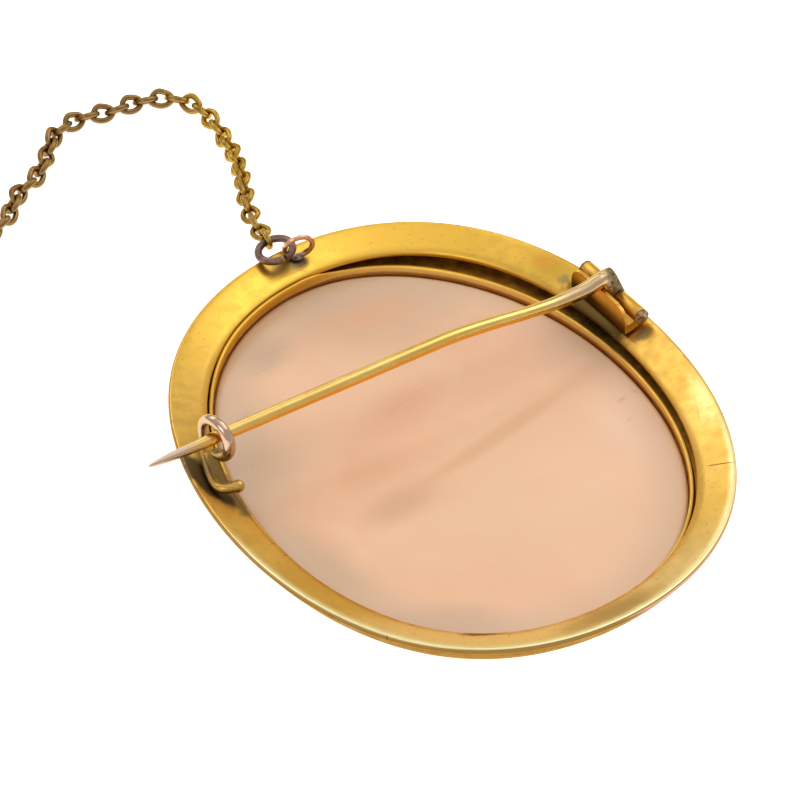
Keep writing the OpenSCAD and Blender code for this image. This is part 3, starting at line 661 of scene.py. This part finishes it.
shaft_points = [
    (-share * pin_run - shaft_start, 0, shaft_height + rise * shaft_bow) for share, rise, _ in SHAFT
]
shaft_radii = [thick * shaft_radius for _, _, thick in SHAFT]
for share, radius in POINT:
    drop = point_drop * share * shaft_bow
    shaft_points.append((-pin_run - share * point_length, 0, shaft_height - drop))
    shaft_radii.append(radius)
pin_shaft = bent_wire("bowed_pin", shaft_points, shaft_radii)
bpy.ops.object.shade_smooth()
deselect()
bpy.ops.mesh.primitive_cylinder_add(
    vertices=48, radius=tube_radius * mm, depth=knuckle_length * mm,
    location=(0, knuckle_shift * mm, axis_height * mm), rotation=(math.pi / 2, 0, 0),
)
pin_head = bpy.context.object
bpy.ops.object.transform_apply(location=True, rotation=True, scale=True)
bpy.ops.object.mode_set(mode="EDIT")
for share, thick, place in HEAD_DISCS:
    bpy.ops.mesh.primitive_cylinder_add(
        vertices=32, radius=share * shaft_radius * mm, depth=thick * mm,
        location=Vector(place) * mm, rotation=(0, math.pi / 2, 0),
    )
bpy.ops.mesh.select_all(action="SELECT")
bpy.ops.mesh.convex_hull()
bpy.ops.object.mode_set(mode="OBJECT")
apply_modifier(pin_head, "REMESH", mode="VOXEL", voxel_size=head_voxel * mm)
apply_modifier(pin_head, "SMOOTH", factor=0.5, iterations=12)
bpy.ops.object.shade_smooth()
pin_head.select_set(True)
pin_shaft.select_set(True)
bpy.context.view_layer.objects.active = pin_shaft
bpy.ops.object.join()
pin_shaft = at_hinge(bpy.context.object)
pin_gold = yellow_gold("pin_gold", pin_colour, 0.17, grain=0.0, dents=0.0)
# a painted warm reflection underneath, greyer at the neck, dark and pitted at the head, pinkish at
# the point
pin_gold.tint(pin_gold.ramp(pin_gold.parts(pin_gold.facing)[2], 0.35, 0.0), pin_reflection_orange, 0.9)
pin_gold.stain((14.6, 8.9, 2.2), (5.5, 2.4, 4.0), 12, pin_neck, 0.8, soft=0.9)
near_head = pin_gold.spot((16.9, 9.5, 1.6), (1.35, 2.4, 4.0), 12, soft=0.5, ragged=0.5)
pin_gold.tint(near_head, head_dark, 0.9)
pitted = pin_gold.both(near_head, pin_gold.blots(0.35, 0.48, 0.60, detail=4, seed=14))
pin_gold.tint(pitted, head_pits, 0.85)
pin_gold.dull(near_head, 0.45)
filed = pin_gold.clouds(0.22, 4, seed=3, stretch=(2, 1, 1), turn=0.3)
pin_gold.relief(pin_gold.both(near_head, filed), 0.08)
at_point = pin_gold.ramp(pin_gold.parts(pin_gold.place)[0], -17.6, -20.2)
pin_gold.tint(at_point, point_pink, 0.9)
pin_shaft.data.materials.append(pin_gold.paint)
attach(pin_shaft, "pin")
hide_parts("pin_stem")

# Catch: one piece of rosy gold wire. A toe and a balled end lie on the plate, the heel is hammered
# thinner, and the wire curls up and over to hold the pin. Dark tarnish stays round its solder.
catch_place = (-16.9588, 1.9267)
curl_radius, curl_line = 1.43, math.radians(-66.04)
# the balled end, the toe, the foot and the heel: place and radius of the wire
CATCH_FOOT = (
    (-16.00, -1.36, 0.02, 0.08),
    (-16.03, -1.36, 0.02, 0.21),
    (-16.11, -1.36, 0.02, 0.34),
    (-16.23, -1.36, 0.02, 0.43),
    (-16.40, -1.35, 0.02, 0.47),
    (-16.60, -1.34, 0.01, 0.45),
    (-16.84, -1.33, 0.00, 0.40),
    (-17.30, -1.28, -0.01, 0.37),
    (-17.60, -1.13, -0.03, 0.36),
    (-17.80, -0.86, -0.05, 0.34),
    (-17.90, -0.40, -0.07, 0.32),
    (-17.92, 0.50, -0.10, 0.29),
    (-17.83, 1.50, -0.11, 0.28),
    (-17.70, 2.40, -0.10, 0.28),
    (-17.60, 2.92, -0.03, 0.29),
    (-17.55, 3.17, 0.25, 0.30),
    (-17.54, 3.23, 0.70, 0.31),
    (-17.54, 3.23, 1.40, 0.32),
)
# the curl, from the heel over the pin to its tapered end: angle in degrees, radius of the wire
CATCH_CURL = (
    (180, 0.35), (160, 0.37), (140, 0.38), (120, 0.40), (100, 0.42), (80, 0.43),
    (60, 0.44), (40, 0.45), (20, 0.45), (0, 0.45), (-20, 0.45), (-40, 0.45),
    (-60, 0.44), (-80, 0.42), (-92, 0.40), (-98, 0.34), (-103, 0.23), (-105, 0.12),
)
catch_colour, catch_shade_olive, foot_gold = (0.60, 0.42, 0.32), (0.30, 0.20, 0.06), (0.58, 0.37, 0.08)


def on_curl(degrees):
    """A point of the curl, which stands upright over the plate."""
    angle = math.radians(degrees)
    out = curl_radius * math.cos(angle)
    return (
        catch_place[0] + out * math.cos(curl_line),
        catch_place[1] + out * math.sin(curl_line),
        shaft_height + curl_radius * math.sin(angle),
    )


catch_points = [row[:3] for row in CATCH_FOOT] + [on_curl(degrees) for degrees, _ in CATCH_CURL]
catch_radii = [row[-1] for row in CATCH_FOOT + CATCH_CURL]
catch_wire = lay_down(bent_wire("catch_wire", catch_points, catch_radii))
bpy.ops.object.shade_smooth()
catch_gold = yellow_gold("catch_gold", catch_colour, 0.14, grain=0.0, dents=0.008)
catch_height = catch_gold.parts(catch_gold.place)[2]
# faces of the catch that look down are painted dark olive as shade
faces_down = catch_gold.ramp(catch_gold.parts(catch_gold.facing)[2], 0.15, -0.7)
catch_gold.tint(faces_down, catch_shade_olive, 0.8)
uneven_height = catch_gold.calc(
    "MULTIPLY_ADD", catch_gold.clouds(1.2, 3, seed=9), 0.8, catch_height
)
foot = catch_gold.ramp(uneven_height, 2.2, 1.2)
catch_gold.tint(foot, foot_gold, 0.9)
# tarnish along the foot, and painted shade below the pin and inside the curl
for place, size, turn, ragged, colour, share in (
    ((-17.9, 1.3, -0.1), (0.8, 2.6, 1.2), 5, 0.8, (0.16, 0.13, 0.07), 0.8),
    ((-16.9, 1.9, 1.0), (0.55, 1.2, 0.8), 0, 0.6, (0.16, 0.11, 0.05), 0.75),
    ((-16.45, 0.85, 1.50), (0.5, 0.5, 0.42), 0, 0.5, (0.14, 0.09, 0.03), 0.8),
):
    catch_gold.stain(place, size, turn, colour, share, soft=0.7, ragged=ragged)
catch_gold.dull(foot, 0.34)
catch_wire.data.materials.append(catch_gold.paint)
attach(catch_wire, "brooch_body")
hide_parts("catch")

# Chain loop: a ring of copper-coloured wire, a little out of round, that stands on the plate in a
# lump of grey solder.
loop_place = (-3.5539, 23.0058, -0.1586)
loop_radius, loop_wire, loop_lean, loop_steps = 1.12, 0.20, math.radians(16), 40
bead_size, bead_shift, bead_uneven = (0.52, 0.34, 0.20), (0, -0.06, -0.09), 0.03
loop_copper, loop_dark, bead_grey = (0.76, 0.46, 0.30), (0.30, 0.19, 0.08), (0.22, 0.20, 0.17)
loop_points, loop_radii = [], []
for step in range(loop_steps + 1):
    angle = math.radians(-90 + 360 * step / loop_steps)
    out, up = loop_radius * math.cos(angle), loop_radius * (1 + math.sin(angle))
    from_foot = Vector((out, -up * math.sin(loop_lean), up * math.cos(loop_lean)))
    loop_points.append(Vector(loop_place) + from_foot)
    loop_radii.append(loop_wire + 0.015 * math.cos(angle) - 0.01 * math.sin(2 * angle))
wire_loop = lay_down(bent_wire("wire_loop", loop_points, loop_radii))
bpy.ops.object.shade_smooth()
deselect()
bpy.ops.mesh.primitive_ico_sphere_add(subdivisions=4, radius=mm)
solder_bead = bpy.context.object
open_mesh()
bpy.ops.transform.resize(value=bead_size)
bpy.ops.transform.vertex_random(offset=bead_uneven * mm, uniform=0.3, normal=0.7, seed=4)
bpy.ops.mesh.vertices_smooth(factor=0.5, repeat=3)
bpy.ops.transform.translate(value=(Vector(loop_place) + Vector(bead_shift)) * mm)
bpy.ops.object.mode_set(mode="OBJECT")
bpy.ops.object.shade_smooth()
lay_down(solder_bead)
wire_loop.select_set(True)
bpy.context.view_layer.objects.active = wire_loop
bpy.ops.object.join()
loop_gold = yellow_gold("loop_gold", loop_copper, 0.18, grain=0.0, dents=0.006)
loop_height = loop_gold.parts(loop_gold.place)[2]
uneven_height = loop_gold.calc("MULTIPLY_ADD", loop_gold.clouds(0.8, 3, seed=5), 0.7, loop_height)
loop_gold.tint(loop_gold.ramp(uneven_height, 1.3, 0.5), loop_dark, 0.8)
bead_place = (loop_place[0], loop_place[1], -0.15)
in_solder = loop_gold.spot(bead_place, (0.8, 0.8, 0.34), 0, soft=0.4, ragged=0.5, blot=0.4)
loop_gold.tint(in_solder, bead_grey, 0.9)
loop_gold.relief(loop_gold.both(in_solder, loop_gold.clouds(0.2, 3)), 0.08)
wire_loop.data.materials.append(loop_gold.paint)
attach(wire_loop, "brooch_body")
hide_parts("chain_loop")

# Jump ring: thick wire with an open joint, oxidised to a dark purple brown. It hangs in the loop
# and lies on the ridge of the plate.
ring_place, ring_radius, ring_tilt = (-5.1439, 23.3758, 0.57), 1.32, math.radians(10.5)
ring_wire, ring_start, ring_arc, ring_steps = 0.295, -73.5, 347, 60
ring_brown, ring_copper, ring_black = (0.17, 0.105, 0.09), (0.33, 0.22, 0.17), (0.05, 0.035, 0.03)
ring_points = []
for step in range(ring_steps + 1):
    angle = math.radians(ring_start + step * ring_arc / ring_steps)
    ring_points.append((
        ring_place[0] + ring_radius * math.cos(angle) * math.cos(ring_tilt),
        ring_place[1] + ring_radius * math.sin(angle),
        ring_place[2] + ring_radius * math.cos(angle) * math.sin(ring_tilt),
    ))
jump_ring = lay_down(bent_wire("oxidised_ring", ring_points, [ring_wire] * len(ring_points)))
soften(jump_ring, 0.05, 50)
ring_metal = Finish("oxidised_wire", ring_brown, 1.0, 0.36)
ring_metal.tint(ring_metal.blots(0.9, 0.45, 0.7, detail=4, seed=3), ring_copper, 0.8)
ring_metal.tint(ring_metal.blots(0.25, 0.58, 0.75, detail=4, seed=6), ring_black, 0.7)
ring_metal.dull(ring_metal.blots(0.5, 0.4, 0.7, seed=8), 0.5)
ring_metal.relief(ring_metal.clouds(0.15, 3, seed=2), 0.012)
jump_ring.data.materials.append(ring_metal.paint)
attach(jump_ring, "brooch_body")
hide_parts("jump_ring")

# Chain: oval links of drawn gold wire, each bent round and soldered shut on one long side, cleaner
# near the brooch and browner towards the free end.
link_reach, link_side, link_wire = 0.825, 0.575, 0.22
# the wire swells at the soldered side, and handles longer than a circle's give straighter sides
solder_swelling, straighter = 1.10, 1.12
link_smooth_steps, link_round_steps = 12, 4
chain_colour, chain_brown = (0.47, 0.29, 0.055), (0.24, 0.145, 0.062)
link_dark = (0.16, 0.085, 0.02)

chain_gold = yellow_gold("chain_gold", chain_colour, 0.24, grain=0.0, dents=0.006)
chain_across = chain_gold.parts(chain_gold.place)[0]
uneven_across = chain_gold.calc(
    "MULTIPLY_ADD", chain_gold.clouds(2.0, 2, seed=15), 3.0, chain_across
)
chain_gold.tint(chain_gold.ramp(uneven_across, -1.8, -6.4), chain_brown, 0.9)
chain_gold.tint(chain_gold.blots(0.8, 0.5, 0.7, seed=16), link_dark, 0.6)
deselect()
bpy.ops.curve.primitive_bezier_circle_add(radius=1.0)
oval_link = bpy.context.object
for knot in oval_link.data.splines[0].bezier_points:
    knot.handle_left_type = knot.handle_right_type = "FREE"
    knot.radius = solder_swelling if knot.co.y > 0.5 else 1.0
    middle, left, right = knot.co.copy(), knot.handle_left.copy(), knot.handle_right.copy()
    for handle, away in (("handle_left", left - middle), ("handle_right", right - middle)):
        far = middle + straighter * away
        setattr(knot, handle, (far.x * link_reach * mm, far.y * link_side * mm, 0))
    knot.co = (middle.x * link_reach * mm, middle.y * link_side * mm, 0)
oval_link.data.dimensions = "3D"
oval_link.data.resolution_u = link_smooth_steps
oval_link.data.bevel_depth = link_wire * mm
oval_link.data.bevel_resolution = link_round_steps
bpy.ops.object.convert(target="MESH")
oval_link = bpy.context.object
open_mesh()
bpy.ops.mesh.normals_make_consistent(inside=False)
bpy.ops.object.mode_set(mode="OBJECT")
bpy.ops.object.shade_smooth()
oval_link.data.materials.append(chain_gold.paint)
for name in sorted(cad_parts):
    if name.startswith("link_"):
        # the middle and the long and flat directions of the solid link
        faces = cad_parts[name].data.polygons
        areas = np.array([face.area for face in faces])
        middles = np.array([face.center for face in faces])
        centre = (areas[:, None] * middles).sum(axis=0) / areas.sum()
        spread = (areas[:, None] * (middles - centre)).T @ (middles - centre)
        flat, _, long = (Vector(column) for column in np.linalg.eigh(spread)[1].T)
        turned = Matrix((long, flat.cross(long), flat)).transposed().to_4x4()
        link = oval_link.copy()
        link.data = oval_link.data.copy()
        link.name = link.data.name = "chain_" + name
        bpy.context.collection.objects.link(link)
        link.matrix_world = Matrix.Translation(Vector(centre)) @ turned
        select_only(link)
        bpy.ops.object.transform_apply(location=True, rotation=True, scale=True)
        # a link that lies down lies on the table, not in it
        lowest = min(vertex.co.z for vertex in link.data.vertices)
        link.location.z = max(0.0, -lowest)
        bpy.ops.object.transform_apply(location=True, rotation=True, scale=True)
        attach(link, "brooch_body")
        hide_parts(name)
deselect()
oval_link.select_set(True)
bpy.ops.object.delete()
